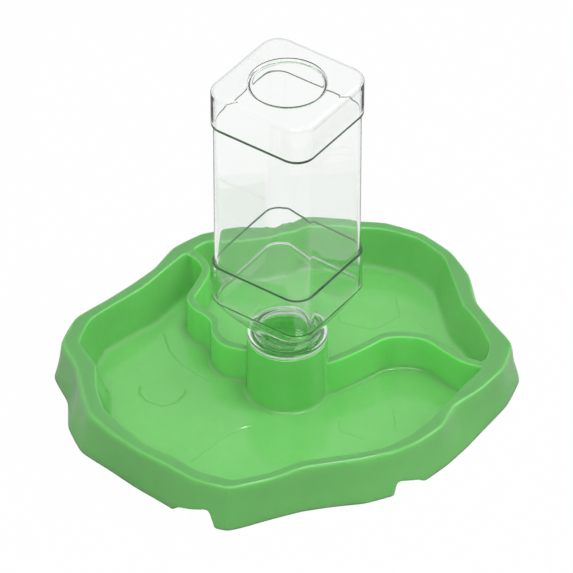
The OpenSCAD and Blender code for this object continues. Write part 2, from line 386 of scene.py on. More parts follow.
def dual_contour(low, high, size):
    """Quads on the zero set, with each vertex placed from the surface's normals."""
    lines = [a + size * np.arange(int(math.ceil((b - a) / size)) + 1)
             for a, b in zip(low, high)]

    def places(index):
        return np.stack([line[index[:, k]] for k, line in enumerate(lines)], 1)

    field = grid_field(*lines)
    inside = field < 0
    shape = np.array(field.shape)
    cells = mixed_cells(inside)
    count = len(cells)
    cell_id = np.full(shape - 1, -1)
    cell_id[tuple(cells.T)] = np.arange(count)
    # least squares sums per cell: each crossing gives a plane
    matrix = np.zeros((count, 3, 3))
    target = np.zeros((count, 3))
    middle = np.zeros((count, 3))
    hits = np.zeros(count)
    quads = []
    axes = np.eye(3, dtype=int)
    for axis in range(3):
        edges = np.argwhere(np.diff(inside, axis=axis))
        starts, ends = tuple(edges.T), tuple((edges + axes[axis]).T)
        points = crossings(places(edges), axes[axis] * size,
                           field[starts].astype(float), field[ends].astype(float))
        normals = unit_gradient(points)
        side_a, side_b = axes[(axis + 1) % 3], axes[(axis + 2) % 3]
        ring = []
        for offset in (0 * side_a, -side_a, -side_a - side_b, -side_b):
            around = edges + offset
            exists = ((around >= 0) & (around < shape - 1)).all(1)
            found = cell_id[tuple(np.clip(around, 0, shape - 2).T)]
            ids = np.where(exists, found, -1)
            ring.append(ids)
            valid = ids >= 0
            ids, normal, point = ids[valid], normals[valid], points[valid]
            np.add.at(matrix, ids, normal[:, :, None] * normal[:, None, :])
            np.add.at(target, ids, normal * (normal * point).sum(1, keepdims=True))
            np.add.at(middle, ids, point)
            np.add.at(hits, ids, 1)
        ring = np.stack(ring, 1)
        ring = np.where(inside[starts][:, None], ring, ring[:, ::-1])
        quads.append(ring[(ring >= 0).all(1)])
    middle /= np.maximum(hits, 1)[:, None]
    pull = 0.06             # weight that draws a vertex to its crossings' middle
    matrix = matrix + pull * np.eye(3)
    target = target + pull * middle
    vertices = np.linalg.solve(matrix, target[..., None])[..., 0]
    corner = places(cells)
    vertices = np.clip(vertices, corner - 0.1 * size, corner + 1.1 * size)
    return vertices, np.concatenate(quads), lines[0], lines[1]


def contour_tray(size):
    margin = 3.3
    low = np.array([TRAY_LOW[0] - margin, TRAY_LOW[1] - margin, -1.37])
    high = np.array([TRAY_HIGH[0] + margin, TRAY_HIGH[1] + margin, SOCKET_TOP + 1.6])
    vertices, quads, xs, ys = dual_contour(low, high, size)
    # settle every vertex on the zero set
    for _ in range(2):
        value = tray_at(vertices)
        slope = gradient(vertices)
        squared = np.maximum((slope * slope).sum(1), 0.25)
        vertices = vertices - np.clip(value / squared, -0.3, 0.3)[:, None] * slope
    vertices[:, 2] = np.maximum(vertices[:, 2], 0)
    return vertices, quads, xs, ys


# ------------------------------------------------- flat floors and grooves
def lengths_along(points):
    steps = np.linalg.norm(np.diff(points, axis=0), axis=1)
    return np.concatenate([[0], np.cumsum(steps)])


def points_along(points, lengths, stations):
    return np.stack([np.interp(stations, lengths, points[:, k]) for k in (0, 1)], 1)


def groove_rows(points, width, depth, spacing=0.7, taper=3.0):
    """Four rows (xy, depths) of a trough: rim, bottom, bottom, rim."""
    lengths = lengths_along(points)
    count = max(4, int(lengths[-1] / spacing))
    stations = np.linspace(0, lengths[-1], count + 1)
    line = points_along(points, lengths, stations)
    for _ in range(3):      # ease the corners
        line[1:-1] = 0.25 * line[:-2] + 0.5 * line[1:-1] + 0.25 * line[2:]
    ahead = np.gradient(line, axis=0)
    ahead /= np.linalg.norm(ahead, axis=1, keepdims=True)
    side = np.stack([-ahead[:, 1], ahead[:, 0]], 1)
    fade = np.clip(np.minimum(stations, lengths[-1] - stations) / taper, 0, 1)
    widths = width * (0.35 + 0.65 * fade)
    return [(line + side * (share * widths)[:, None], depth * fade * deep)
            for share, deep in ((-0.5, 0), (-0.22, 1), (0.22, 1), (0.5, 0))]


def longest_run(flags):
    """Slice of the longest unbroken run of true flags."""
    best, start = (0, 0), None
    for k, flag in enumerate(list(flags) + [False]):
        if flag and start is None:
            start = k
        if not flag and start is not None:
            if k - start > best[1] - best[0]:
                best = (start, k)
            start = None
    return slice(*best)


def shrunk(mask):
    """Mask drawn in by one grid step."""
    inner = mask.copy()
    for dx in (-1, 0, 1):
        for dy in (-1, 0, 1):
            inner &= np.roll(np.roll(mask, dx, 0), dy, 1)
    return inner


def open_edges(quads):
    """Edges that belong to one quad only."""
    edges = np.concatenate([quads[:, [k, (k + 1) % 4]] for k in range(4)])
    edges, uses = np.unique(np.sort(edges, 1), axis=0, return_counts=True)
    return edges[uses == 1]


def refill_flat(vertices, quads, xs, ys, level, up, grooves, lattice=6.0):
    """Replaces the flat quads at one level by a triangulation that carries the grooves.

    Returns vertices, the quads kept, and triangles."""
    size = xs[1] - xs[0]

    def grid_index(points):
        i = np.clip(np.round((points[:, 0] - xs[0]) / size).astype(int), 0, len(xs) - 1)
        j = np.clip(np.round((points[:, 1] - ys[0]) / size).astype(int), 0, len(ys) - 1)
        return i, j

    flat = (np.abs(vertices[:, 2] - level) < 1e-4)[quads].all(1)
    i, j = grid_index(vertices[quads].mean(1))
    offset = vertices[quads][:, :, :2] - np.stack([xs[i], ys[j]], 1)[:, None]
    flat &= np.abs(offset).max((1, 2)) < 0.505 * size
    mask = np.zeros((len(xs), len(ys)), bool)
    mask[i[flat], j[flat]] = True
    # one step in from the edge, so that the ring at the fillets stays regular
    mask = shrunk(mask)
    drop = flat & mask[i, j]
    if not drop.any():
        return vertices, quads, np.zeros((0, 3), int)
    border_edges = open_edges(quads[drop])
    border = np.unique(border_edges)
    local = {int(vertex): k for k, vertex in enumerate(border)}
    points = [tuple(vertices[vertex, :2]) for vertex in border]
    heights = [level] * len(points)
    edges = [(local[int(a)], local[int(b)]) for a, b in border_edges]
    inner = shrunk(mask)

    busy = [vertices[border, :2]]
    for line, width, depth in grooves:
        line = np.array(line, float)
        lengths = lengths_along(line)
        line = points_along(line, lengths, np.arange(0, lengths[-1], 0.5))
        line = line[longest_run(inner[grid_index(line)])]
        if len(line) < 8:
            continue
        rows = groove_rows(line, width, depth)
        base = len(points)
        n = len(rows[0][0])
        for places, depths in rows:
            points += [(float(x), float(y)) for x, y in places]
            heights += [level - up * float(deep) for deep in depths]
        for row in range(4):
            edges += [(base + row * n + k, base + row * n + k + 1) for k in range(n - 1)]
        for row in range(3):
            edges += [(base + row * n + end, base + (row + 1) * n + end)
                      for end in (0, n - 1)]
        busy += [rows[0][0], rows[3][0]]
    busy = np.concatenate(busy)
    # loose lattice points, clear of the border and the grooves
    for column, x in enumerate(np.arange(xs[0], xs[-1], lattice)):
        for y in np.arange(ys[0], ys[-1], lattice):
            point = np.array([x, y + (lattice / 2 if column % 2 else 0)])
            if (inner[grid_index(point[None])][0]
                    and ((busy - point) ** 2).sum(1).min() > (0.4 * lattice) ** 2):
                points.append((float(point[0]), float(point[1])))
                heights.append(level)

    made, _, faces, sources, _, _ = delaunay_2d_cdt(
        [Vector(point) for point in points], edges, [], 0, 1e-6, True)
    index = []
    extra = []
    for place, source in zip(made, sources):
        source = [k for k in source if k < len(points)]
        if source and source[0] < len(border):
            index.append(int(border[source[0]]))
        else:
            index.append(len(vertices) + len(extra))
            extra.append((place[0], place[1], heights[source[0]] if source else level))
    triangles = []
    for face in faces:
        centre = [sum(made[k][axis] for k in face) / len(face) for axis in (0, 1)]
        if mask[grid_index(np.array([centre]))][0]:
            triangle = [index[k] for k in face]
            triangles.append(triangle if up > 0 else triangle[::-1])
    vertices = np.concatenate([vertices, np.array(extra).reshape(-1, 3)])
    return vertices, quads[~drop], np.array(triangles, int)


def tray_mesh(size):
    vertices, quads, xs, ys = contour_tray(size)
    vertices, quads, floor = refill_flat(vertices, quads, xs, ys, FLOOR_Z, 1, GROOVES)
    vertices, quads, under = refill_flat(vertices, quads, xs, ys, FLOOR_Z - WALL, -1, [])
    parts = (quads, floor, under)
    used = np.unique(np.concatenate([part.ravel() for part in parts]))
    index = np.zeros(len(vertices), int)
    index[used] = np.arange(len(used))
    return vertices[used], [face for part in parts for face in index[part]]


# ------------------------------------------------------------ mesh helpers
def new_object(name, vertices, faces):
    mesh = bpy.data.meshes.new(name)
    mesh.from_pydata([tuple(vertex) for vertex in vertices * MM], [],
                     [tuple(int(i) for i in face) for face in faces])
    mesh.validate(clean_customdata=False)
    mesh.update()
    mesh.shade_smooth()
    piece = bpy.data.objects.new(name, mesh)
    bpy.context.scene.collection.objects.link(piece)
    return piece


def read_vectors(items, name):
    values = np.empty(len(items) * 3, np.float32)
    items.foreach_get(name, values)
    return values.reshape(-1, 3).astype(float)


def read_integers(items, name):
    values = np.empty(len(items), np.int32)
    items.foreach_get(name, values)
    return values


def band(first, second, count):
    """Quads between two closed rings, given the index each ring starts at."""
    here = np.arange(count)
    after = (here + 1) % count
    return np.stack([first + here, first + after, second + after, second + here], 1)


def shade_tray(mesh, vertices):
    """Shades with the field's own normals, but keeps the grooves' faces flat."""
    normals = read_vectors(mesh.vertex_normals, "vector")
    exact = unit_gradient(vertices, 0.05)
    use = (np.abs(tray_at(vertices)) < 0.06) & ((exact * normals).sum(1) > 0.5)
    normals[use] = exact[use]
    corners = normals[read_integers(mesh.loops, "vertex_index")]
    face_normals = read_vectors(mesh.polygons, "normal")
    centres = read_vectors(mesh.polygons, "center") / MM
    depth = FLOOR_Z - centres[:, 2]
    groove = (depth < 0.7) & (depth > 0.01) & (face_normals[:, 2] > 0.4)
    groove[groove] = tray_at(centres[groove]) < -0.02
    face = np.repeat(np.arange(len(centres)), read_integers(mesh.polygons, "loop_total"))
    in_groove = groove[face]
    corners[in_groove] = face_normals[face[in_groove]]
    mesh.normals_split_custom_set([tuple(normal) for normal in corners])


def mark_thin(mesh, vertices):
    """Point attribute that is 1 on the divider, above the floor and inside the basins."""
    x, y, z = vertices.T
    thin = np.clip((5.0 - path_distance(x, y)) / 2.0, 0, 1)
    thin *= np.clip((z - FLOOR_Z) / 3.0, 0, 1)
    thin *= np.clip((at(BASIN, table_place(x, y)) - np.hypot(x, y)) / 6.0, 0, 1)
    attribute = mesh.attributes.new("thin", "FLOAT", "POINT")
    attribute.data.foreach_set("value", thin.astype(np.float32))


# ------------------------------------------------------------------ bottle
MOUTH_Z, END_Z = BOTTLE_LOW[2], BOTTLE_HIGH[2]
PANEL_DEPTH = 1.2
BAND_HALF = BOTTLE_HIGH[0]              # half width over the bands
PANEL_HALF = BAND_HALF - PANEL_DEPTH    # half width of the recessed panel
BAND_CORNER, PANEL_CORNER = 10.5, 9.3
BOTTLE_WALL = 1.3
END_WALL = 0.8                          # the upper end is thinner
INNER_HALF = PANEL_HALF - BOTTLE_WALL
INNER_CORNER = PANEL_CORNER - BOTTLE_WALL
PANEL_TOP, PANEL_BOTTOM, BAND_BOTTOM = 183.5, 93.5, 70.0
NECK_RADIUS, ROOT_RADIUS, COLLAR_RADIUS, FLANGE_RADIUS = 18.2, 17.65, 18.95, 21.0
BOTTLE_BORE = 15.0
LIP_HEIGHT = 0.6
LIP_OUTER = ROOT_RADIUS - 0.2
END_ROUND = 3.0                         # rounding at the rim of the closed end
SHOULDER_STEPS = 26
SHOULDER_ROUND = 8.0                    # where the shoulder turns upright
# control points (radius, z) of the shoulder's cubic curve
SHOULDER_CURVE = ((NECK_RADIUS, 45.2), (NECK_RADIUS, 50.6), (26.6, 59.0), (29.4, 67.5))
THREAD_START, THREAD_PITCH, THREAD_TURNS, THREAD_HEIGHT = MOUTH_Z + 3.0, 4.2, 2.4, 1.28

# inside of the closed end's recess, from the centre out: radius, z from the inner end
RECESS_INSIDE = (
    (3, -2.0), (8, -2.0), (14, -2.0), (17.5, -2.0), (18.5, -1.94), (19.1, -1.75),
    (19.5, -1.4), (19.8, -0.8), (20.1, -0.3), (20.5, -0.08), (21.1, 0.0))
# its outside, from the rim in: radius, z from the end
RECESS_OUTSIDE = (
    (21.2, 0), (20.75, 0), (20.6, -0.03), (20.45, -0.12), (20.38, -0.3), (20.35, -0.8),
    (20.3, -1.4), (20.22, -1.8), (20.0, -1.95), (19.6, -2.0), (16, -2.0), (10, -2.0), (3, -2.0))
# rings that go from round to square across the end: half width, corner radius
END_RINGS = ((22.8, 15.5), (24.6, 11.5), (26.5, 9.8))
# heights of the inside rings where the wall thickens downwards
TAPER_HEIGHTS = (202, 200, 197, 194, 191, 188, 186, 184.5, 183, 181.5,
                 180, 176, 168, 155, 140, 128, 121, 117, 113, 109)
# ledge from a band up into the panel: z from the ledge, depth below the band
LEDGE = ((-0.32, 0.0), (-0.14, 0.03), (-0.04, 0.12), (0, 0.3), (0, 0.9),
         (0.04, 1.08), (0.14, 1.17), (0.32, PANEL_DEPTH))
# start of the lower band: z from its bottom, depth below the band
BAND_START = ((0.02, 0.9), (0.02, 0.35), (0.06, 0.14), (0.16, 0.04), (0.34, 0.0), (0.8, 0.0))
# collar, flange and plain neck above the thread: z, radius
COLLAR = (
    (35.6, ROOT_RADIUS), (35.9, 17.9), (36.1, 18.4), (36.35, 18.8), (36.7, COLLAR_RADIUS),
    (38.5, COLLAR_RADIUS), (40.1, COLLAR_RADIUS), (40.42, COLLAR_RADIUS + 0.1),
    (40.5, COLLAR_RADIUS + 0.5), (40.5, 20.0), (40.52, 20.6), (40.64, 20.87),
    (40.9, FLANGE_RADIUS), (41.6, FLANGE_RADIUS), (42.3, FLANGE_RADIUS), (42.56, 20.87),
    (42.68, 20.6), (42.7, 20.0), (42.72, 19.0), (42.85, 18.55), (43.15, 18.28),
    (43.6, NECK_RADIUS), (44.4, NECK_RADIUS))


def corner_headings(per_quarter=36):
    """Headings in radians over a full turn, closer together at the square's corners."""
    t = (np.arange(per_quarter) + 0.5) / per_quarter
    quarter = (t + 0.42 * np.sin(2 * math.pi * t) / (2 * math.pi)) * math.pi / 2
    return np.concatenate([quarter + k * math.pi / 2 for k in range(4)])


HEADINGS = corner_headings()


def section(half, corner):
    """Polar radius of a rounded square at each heading."""
    corner = min(corner, half)
    straight = half - corner
    angle = HEADINGS % (math.pi / 2)
    angle = np.where(angle > math.pi / 4, math.pi / 2 - angle, angle)
    inner = corner * corner - straight * straight * (1 - np.sin(2 * angle))
    arc = straight * (np.cos(angle) + np.sin(angle)) + np.sqrt(np.maximum(inner, 0))
    return np.where(half * np.tan(angle) <= straight, half / np.cos(angle), arc)


def ring_at(z, half, corner=None, relief=0.0):
    """One ring of points, round unless a corner radius is given."""
    radius = section(half, half if corner is None else corner) + relief
    return np.stack([radius * np.cos(HEADINGS), radius * np.sin(HEADINGS),
                     np.full(len(HEADINGS), float(z))], 1)


def thread_relief(z):
    """Height of the helical crest over the neck at each heading."""
    relief = np.zeros(len(HEADINGS))
    share = np.arctan2(np.sin(HEADINGS), np.cos(HEADINGS)) % (2 * math.pi) / (2 * math.pi)
    for k in range(4):
        turn = share + k
        ends = np.clip(np.minimum(turn, THREAD_TURNS - turn) / 0.07, 0, 1)
        ends = ends * ends * (3 - 2 * ends)
        flank = np.clip((1.35 - np.abs(z - (THREAD_START + THREAD_PITCH * turn))) / 0.75, 0, 1)
        relief = np.maximum(relief, flank * flank * (3 - 2 * flank) * THREAD_HEIGHT * ends)
    return relief


def shoulder(inset):
    """Stations (z, half width, corner) up the shoulder, drawn in by an inset."""
    start, pull_a, pull_b, end = SHOULDER_CURVE
    stations = []
    for k in range(SHOULDER_STEPS + 1):
        u = k / SHOULDER_STEPS
        half, z = ((1 - u) ** 3 * start[i] + 3 * (1 - u) ** 2 * u * pull_a[i]
                   + 3 * (1 - u) * u * u * pull_b[i] + u ** 3 * end[i] for i in (0, 1))
        run, rise = (3 * (1 - u) ** 2 * (pull_a[i] - start[i])
                     + 6 * (1 - u) * u * (pull_b[i] - pull_a[i])
                     + 3 * u * u * (end[i] - pull_b[i]) for i in (0, 1))
        length = math.hypot(run, rise)
        half -= inset * rise / length
        blend = u * u * (3 - 2 * u)
        corner = NECK_RADIUS - inset + (PANEL_CORNER - NECK_RADIUS) * blend
        stations.append((z + inset * run / length, half, corner if u > 0.02 else half))
    radius = SHOULDER_ROUND - inset
    for k in range(1, 7):   # eases upright under the lower band
        angle = math.radians(18.1 * (1 - k / 6))
        stations.append((BAND_BOTTOM - radius * math.sin(angle),
                         PANEL_HALF - SHOULDER_ROUND + radius * math.cos(angle),
                         PANEL_CORNER - inset))
    return stations


def end_rounding(steps, inset):
    """Stations up the rounded rim of the closed end, drawn in by an inset."""
    radius = END_ROUND - inset
    stations = []
    for k in range(steps + 1):
        angle = math.radians(k * 90 / steps)
        stations.append((END_Z - END_ROUND + radius * math.sin(angle),
                         BAND_HALF - END_ROUND + radius * math.cos(angle),
                         BAND_CORNER - inset - k / steps))
    return stations


def inside_stations():
    """From the closed end's centre down to the bottom of the bore."""
    end = END_Z - END_WALL
    stations = [(end + dz, radius) for radius, dz in RECESS_INSIDE]
    stations += [(end, half, corner) for half, corner in END_RINGS]
    stations += reversed(end_rounding(8, END_WALL))
    for z in TAPER_HEIGHTS:
        half = sum(np.interp(z + shift, (115, 183, 203),
                             (INNER_HALF, PANEL_HALF - 0.6, BAND_HALF - END_WALL))
                   for shift in (-3, -1.5, 0, 1.5, 3)) / 5
        stations.append((z, half, INNER_CORNER + half - INNER_HALF))
    stations += [(z, INNER_HALF, INNER_CORNER) for z in (100, 90, 80)]
    inner = shoulder(BOTTLE_WALL)
    stations += reversed(inner)
    # a narrow ledge round the top of the bore
    rim = inner[0][1]
    stations += [(44.95, rim - 0.04), (44.8, rim - 0.14), (44.72, rim - 0.34)]
    stations += [(z, BOTTLE_BORE + extra) for z, extra in (
        (44.7, 0.75), (44.64, 0.4), (44.46, 0.15), (44.2, 0.03), (43.9, 0))]
    return stations + [(z, BOTTLE_BORE) for z in (42, 38, 34, 30, 26, 22)]


def lip_stations():
    """Round the mouth, from the bore out to the neck."""
    stations = [(MOUTH_Z + LIP_HEIGHT, BOTTLE_BORE)]
    for k in range(1, 8):
        angle = math.radians(k * 180 / 8)
        stations.append((MOUTH_Z + LIP_HEIGHT - LIP_HEIGHT * math.sin(angle),
                         (BOTTLE_BORE + LIP_OUTER) / 2
                         - (LIP_OUTER - BOTTLE_BORE) / 2 * math.cos(angle)))
    stations.append((MOUTH_Z + LIP_HEIGHT, LIP_OUTER))
    return stations


def outside_stations():
    """From the collar over the thread up to the closed end's centre."""
    def stepped(level, profile):
        return [(level + dz, BAND_HALF - depth, BAND_CORNER - depth) for dz, depth in profile]

    stations = [*COLLAR, *shoulder(0.0)]
    stations += stepped(BAND_BOTTOM, BAND_START)
    stations += [(z, BAND_HALF, BAND_CORNER) for z in (76, 82, 88, PANEL_BOTTOM - 1.6)]
    stations += stepped(PANEL_BOTTOM, ((-0.8, 0.0), *LEDGE))
    stations += [(z, PANEL_HALF, PANEL_CORNER)
                 for z in (95, 110, 125, 140, 155, 170, 181, PANEL_TOP - 0.7)]
    stations += stepped(PANEL_TOP, [(-dz, depth) for dz, depth in reversed(LEDGE)])
    stations += stepped(PANEL_TOP, ((1.7, 0.0),))
    stations += [(z, BAND_HALF, BAND_CORNER) for z in (186.6, 192, 200)]
    stations += end_rounding(10, 0.0)
    stations += [(END_Z, half, corner) for half, corner in reversed(END_RINGS)]
    return stations + [(END_Z + dz, radius) for radius, dz in RECESS_OUTSIDE]


def edge_slots(rings):
    """Material slot of each band of faces: 0 clear, 1 ledge, 2 crease, 3 far edge."""
    slots = np.zeros(len(rings) - 1, int)
    for k in range(len(rings) // 2, len(rings) - 1):
        z, half = ((rings[k][0, i] + rings[k + 1][0, i]) / 2 for i in (2, 0))
        if half < 20.55 and END_Z - 1.2 < z < END_Z - 0.02:
            slots[k] = 3
        if half < 27:
            continue
        if -0.1 < z - PANEL_TOP < 0.12 or abs(z - PANEL_BOTTOM) < 0.12:
            slots[k] = 1
        elif 0 < z - PANEL_TOP < 1.5 or 0 < z - BAND_BOTTOM < 0.8:
            slots[k] = 2
        elif -0.8 < z - PANEL_BOTTOM < 0:
            slots[k] = 3
    return slots


def bottle_mesh():
    """One skin from the inside of the closed end, round the mouth, to its outside."""
    rings = [ring_at(*station) for station in inside_stations() + lip_stations()]
    rings += [ring_at(z, ROOT_RADIUS, None, thread_relief(z))
              for z in np.arange(MOUTH_Z + 1.0, 35.3, 0.3)]
    rings += [ring_at(*station) for station in outside_stations()]
    count = len(HEADINGS)
    centres = np.array([[0, 0, END_Z - END_WALL - 2], [0, 0, END_Z - 2]])
    faces = [face for k in range(len(rings) - 1)
             for face in band(k * count, (k + 1) * count, count)]
    centre = len(rings) * count
    last = centre - count
    faces += [(centre, (k + 1) % count, k) for k in range(count)]
    faces += [(centre + 1, last + k, last + (k + 1) % count) for k in range(count)]
    slots = np.concatenate([np.repeat(edge_slots(rings), count), np.zeros(2 * count, int)])
    return np.concatenate(rings + [centres]), faces, slots


# ------------------------------------------------------------------ washer
def washer_mesh(count=128):
    """Flat ring with rounded edges."""
    rounding = 0.38
    low, high = SEAL_LOW[2] + rounding, SEAL_HIGH[2] - rounding
    inner, outer = BORE_RADIUS + 0.12 + rounding, SEAL_HIGH[0] - rounding
    profile = []
    for radius, z, start in ((outer, low, -90), (outer, high, 0),
                             (inner, high, 90), (inner, low, 180)):
        for k in range(5):
            angle = math.radians(start + k * 22.5)
            profile.append((radius + rounding * math.cos(angle), z + rounding * math.sin(angle)))
    radii, heights = np.array(profile).T
    turn = np.arange(count) * 2 * math.pi / count
    vertices = np.stack([np.outer(radii, np.cos(turn)).ravel(),
                         np.outer(radii, np.sin(turn)).ravel(), np.repeat(heights, count)], 1)
    rings = len(profile)
    return vertices, [face for k in range(rings)
                      for face in band(k * count, (k + 1) % rings * count, count)]


# --------------------------------------------------------------- materials
class Graph:
    """Small helper to write node trees."""

    def __init__(self, tree):
        self.tree = tree
        tree.nodes.clear()

    def add(self, kind, inputs=None, **props):
        node = self.tree.nodes.new(kind)
        for name, value in props.items():
            setattr(node, name, value)
        for key, value in (inputs or {}).items():
            if isinstance(value, bpy.types.NodeSocket):
                self.tree.links.new(value, node.inputs[key])
            else:
                node.inputs[key].default_value = value
        return node

    def math(self, operation, first, second, clamp=False):
        return self.add("ShaderNodeMath", {0: first, 1: second},
                        operation=operation, use_clamp=clamp).outputs[0]

    def times(self, first, second, clamp=False):
        return self.math("MULTIPLY", first, second, clamp)

    def noise(self, place, scale, detail=3.0, rough=0.5):
        return self.add("ShaderNodeTexNoise", {"Vector": place, "Scale": scale, "Detail": detail,
                                               "Roughness": rough}).outputs["Fac"]

    def span(self, value, between, to=(0.0, 1.0)):
        return self.add("ShaderNodeMapRange", {
            "Value": value, "From Min": between[0], "From Max": between[1],
            "To Min": to[0], "To Max": to[1]}).outputs["Result"]

    def mix(self, factor, first, second):
        """Blend of two colours."""
        return self.add("ShaderNodeMix", {0: factor, 6: first, 7: second},
                        data_type="RGBA").outputs[2]

    def mix_shaders(self, factor, first, second):
        return self.add("ShaderNodeMixShader", {0: factor, 1: first, 2: second}).outputs[0]

    def bump(self, height, strength, distance, **normal):
        return self.add("ShaderNodeBump", {"Height": height, "Strength": strength,
                                           "Distance": distance, **normal}).outputs["Normal"]

    def principled(self, inputs):
        return self.add("ShaderNodeBsdfPrincipled", inputs).outputs[0]

    def place(self):
        return self.add("ShaderNodeTexCoord").outputs["Object"]

    def upward(self, vector):
        """Z component of a vector."""
        return self.add("ShaderNodeSeparateXYZ", {0: vector}).outputs[2]

    def finish(self, shader, kind="Material"):
        self.add("ShaderNodeOutput" + kind, {"Surface": shader})


TRAY_DARK = (0.138, 0.48, 0.112, 1)
TRAY_LIGHT = (0.160, 0.53, 0.132, 1)
# painted shade: darker, greyer green for the brim's and the divider's tops
TRAY_TOP_SHADE = (0.096, 0.325, 0.084, 1)
TRAY_THIN = (0.190, 0.64, 0.155, 1)
# painted highlight: paler green for the raised edges
TRAY_EDGE_HIGHLIGHT = (0.24, 0.58, 0.22, 1)
SILICONE_DARK = (0.72, 0.80, 0.72, 1)
SILICONE_LIGHT = (0.90, 0.95, 0.90, 1)
CLEAR_COLOUR = (0.985, 0.993, 0.988, 1)
CLEAR_SHADOW = (0.97, 0.985, 0.975, 1)
# painted shade: near black greens for the bottle's fine edge lines
EDGE_SHADE_DARK = (0.016, 0.044, 0.018, 1)
EDGE_SHADE_LIGHT = (0.045, 0.130, 0.050, 1)
EDGE_SHADOW = (0.9, 0.93, 0.9, 1)
BOTTLE_IOR = 1.50


def material(name):
    made = bpy.data.materials.new(name)
    made.use_nodes = True
    return made, Graph(made.node_tree)


def tray_plastic():
    """Saturated green with soft flow marks. Heights here are metres."""
    made, g = material("tray_plastic")
    place = g.place()
    broad = g.noise(place, scale=14.0, detail=2.0)
    mid = g.noise(place, scale=120.0)
    fine = g.noise(place, scale=1500.0, detail=2.0)
    flow = g.math("ADD", g.times(broad, 0.75), g.times(mid, 0.25))
    ramp = g.add("ShaderNodeValToRGB", {"Fac": flow})
    stops = ((0.3, TRAY_DARK), (0.7, TRAY_LIGHT))
    for element, (position, colour) in zip(ramp.color_ramp.elements, stops):
        element.position = position
        element.color = colour
    # the brim's and the divider's tops are matt, and painted a darker, greyer green: painted shade
    # for the thick plastic there, which lets less light through than the thin floor
    geometry = g.add("ShaderNodeNewGeometry")
    height = g.upward(place)
    facing_up = g.upward(geometry.outputs["Normal"])
    upper = g.times(g.span(height, between=(0.0240, 0.0251)),
                    g.span(facing_up, between=(0.55, 0.95)))
    upper = g.times(upper, g.span(height, between=(0.0275, 0.0285), to=(1.0, 0.0)))
    colour = g.mix(upper, ramp.outputs["Color"], TRAY_TOP_SHADE)
    # painted highlight along the raised edges: a paler green in patches, and a little rougher
    crest = g.times(g.span(facing_up, between=(0.20, 0.55)),
                    g.span(facing_up, between=(0.70, 0.97), to=(1.0, 0.0)))
    edge = g.times(crest, g.span(height, between=(0.0225, 0.0245)))
    edge_highlight = g.times(edge, g.span(mid, between=(0.30, 0.70), to=(0.22, 0.34)), clamp=True)
    colour = g.mix(edge_highlight, colour, TRAY_EDGE_HIGHLIGHT)
    # the divider is thin enough for light to come through its sides
    thin = g.add("ShaderNodeAttribute", attribute_name="thin").outputs["Fac"]
    glow = g.times(thin, g.span(facing_up, between=(0.3, 0.8), to=(0.75, 0.0)), clamp=True)
    colour = g.mix(glow, colour, TRAY_THIN)
    rough = g.math("ADD", g.span(mid, between=(0.3, 0.7), to=(0.11, 0.15)), g.times(edge_highlight, 0.10))
    rough = g.math("ADD", rough, g.times(upper, 0.08))
    grain = g.bump(fine, strength=0.08, distance=0.0002)
    waves = g.noise(place, scale=45.0, detail=2.0)
    g.finish(g.principled({
        "Base Color": colour, "Roughness": rough, "IOR": 1.58,
        "Normal": g.bump(waves, strength=0.10, distance=0.0012, Normal=grain),
        "Subsurface Weight": 0.85, "Subsurface Radius": (0.35, 1.0, 0.3),
        "Subsurface Scale": 0.010}))
    return made


def washer_silicone():
    """Cloudy, half clear silicone."""
    made, g = material("washer_silicone")
    place = g.place()
    cloud = g.noise(place, scale=260.0, detail=4.0)
    colour = g.mix(cloud, SILICONE_DARK, SILICONE_LIGHT)
    normal = g.bump(g.noise(place, scale=1900.0), strength=0.25, distance=0.0001)
    g.finish(g.principled({
        "Base Color": colour, "Roughness": g.span(cloud, between=(0.3, 0.7), to=(0.34, 0.5)),
        "IOR": 1.41, "Transmission Weight": 0.55, "Subsurface Weight": 0.3,
        "Subsurface Radius": (1.0, 1.0, 1.0), "Subsurface Scale": 0.0015, "Normal": normal}))
    return made


def finish_see_through(g, shader, tint):
    """Lets shadow and diffuse rays straight through with a tint."""
    clear = g.add("ShaderNodeBsdfTransparent", {"Color": tint})
    rays = g.add("ShaderNodeLightPath")
    passing = g.math("MAXIMUM", rays.outputs["Is Shadow Ray"], rays.outputs["Is Diffuse Ray"])
    g.finish(g.mix_shaders(passing, shader, clear.outputs[0]))


def bottle_clear():
    """Clear plastic with very shallow waves, longer up the wall than across it."""
    made, g = material("bottle_clear")
    place = g.place()
    stretched = g.add("ShaderNodeMapping", {"Vector": place, "Scale": (1.0, 1.0, 0.35)})
    waves = g.noise(stretched.outputs[0], scale=55.0, detail=1.5, rough=0.4)
    normal = g.bump(waves, strength=0.10, distance=0.0006)
    haze = g.noise(place, scale=90.0)
    shader = g.principled({
        "Base Color": CLEAR_COLOUR, "IOR": BOTTLE_IOR, "Transmission Weight": 1.0,
        "Roughness": g.span(haze, between=(0.4, 0.7), to=(0.0, 0.02)), "Normal": normal})
    finish_see_through(g, shader, CLEAR_SHADOW)
    return made


